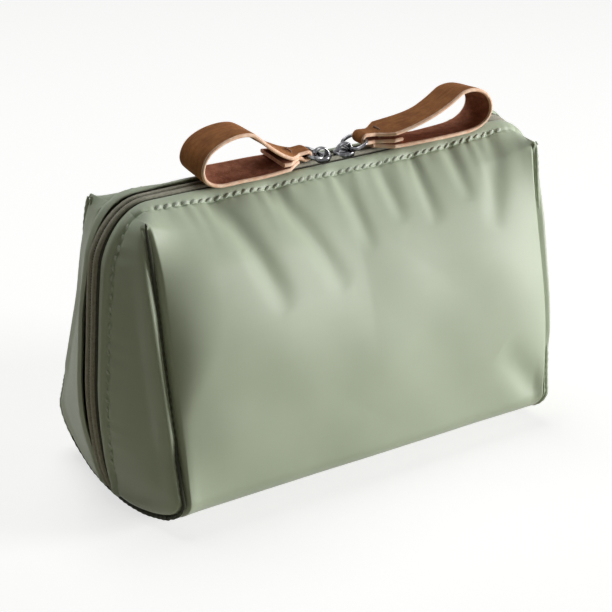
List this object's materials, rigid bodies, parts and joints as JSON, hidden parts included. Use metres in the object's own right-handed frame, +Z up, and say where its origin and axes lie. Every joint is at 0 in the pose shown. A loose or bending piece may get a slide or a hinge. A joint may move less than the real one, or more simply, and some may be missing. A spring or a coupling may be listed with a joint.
{
  "type": "zipped pouch",
  "caption": "Soft zipped pouch with a wedge section, a zip over the top and down both ends, two sliders and leather loop pulls.",
  "frame": {"origin": "middle of the base on the floor, under the middle of the zip", "axes": "+X along the pouch to its right end seen from the front, -Y towards the front, +Z up"},
  "size_m": [0.238, 0.0972, 0.1582],
  "materials": {
    "cloth": "smooth woven nylon with a soft sheen",
    "cloth_end": "smooth woven nylon with a soft sheen",
    "lining": "thin plain lining",
    "tape": "woven zip tape",
    "coil": "moulded coil",
    "metal": "dark nickel",
    "leather": "grained, raw edges",
    "thread": "sewing thread"
  },
  "bodies": {
    "back_half": {"base_panel": "cloth", "back_panel": "cloth", "gusset_left_back": "cloth_end", "gusset_right_back": "cloth_end", "seam_lip_left_back": "cloth_end", "seam_lip_right_back": "cloth_end", "seam_lip_left_base": "cloth_end", "seam_lip_right_base": "cloth_end", "zip_tape_back": "tape", "zip_coil_back": "coil", "zip_stops_back": "metal", "topstitch_back": "thread", "lining_base": "lining", "lining_back": "lining", "lining_ends_back": "lining"},
    "front_half": {"front_panel": "cloth", "gusset_left_front": "cloth_end", "gusset_right_front": "cloth_end", "seam_lip_left_front": "cloth_end", "seam_lip_right_front": "cloth_end", "zip_tape_front": "tape", "zip_coil_front": "coil", "zip_stops_front": "metal", "topstitch_front": "thread", "lining_front": "lining", "lining_ends_front": "lining"},
    "left_slider": {"slider_left": "metal"},
    "right_slider": {"slider_right": "metal"},
    "left_ring": {"pull_ring_left": "metal"},
    "right_ring": {"pull_ring_right": "metal"},
    "left_pull": {"leather_pull_left": "leather", "pull_stitches_left": "thread"},
    "right_pull": {"leather_pull_right": "leather", "pull_stitches_right": "thread"}
  },
  "joints": [
    {"name": "mouth_opening", "type": "hinge", "parent": "back_half", "child": "front_half", "pos_m": [0, -0.0401, 0.0066], "axis": [1, 0, 0], "range_deg": [0, 20]},
    {"name": "left_slider_run", "type": "slide", "parent": "front_half", "child": "left_slider", "axis": [-1, 0, 0], "range_m": [0, 0.06]},
    {"name": "right_slider_run", "type": "slide", "parent": "front_half", "child": "right_slider", "axis": [1, 0, 0], "range_m": [0, 0.06]},
    {"name": "left_ring_swing", "type": "hinge", "parent": "left_slider", "child": "left_ring", "pos_m": [-0.0039, 0, 0.13745], "axis": [0, 0.9962, 0.0872], "range_deg": [0, 35]},
    {"name": "right_ring_swing", "type": "hinge", "parent": "right_slider", "child": "right_ring", "pos_m": [0.0125, 0, 0.13745], "axis": [0, -0.9998, -0.0175], "range_deg": [0, 35]},
    {"name": "left_pull_swing", "type": "hinge", "parent": "left_ring", "child": "left_pull", "pos_m": [-0.01218, -0.00012, 0.13885], "axis": [0, 0.9962, 0.0872], "range_deg": [0, 25]},
    {"name": "right_pull_swing", "type": "hinge", "parent": "right_ring", "child": "right_pull", "pos_m": [0.02029, -0.00005, 0.1406], "axis": [0, -0.9998, -0.0175], "range_deg": [0, 25]}
  ]
}
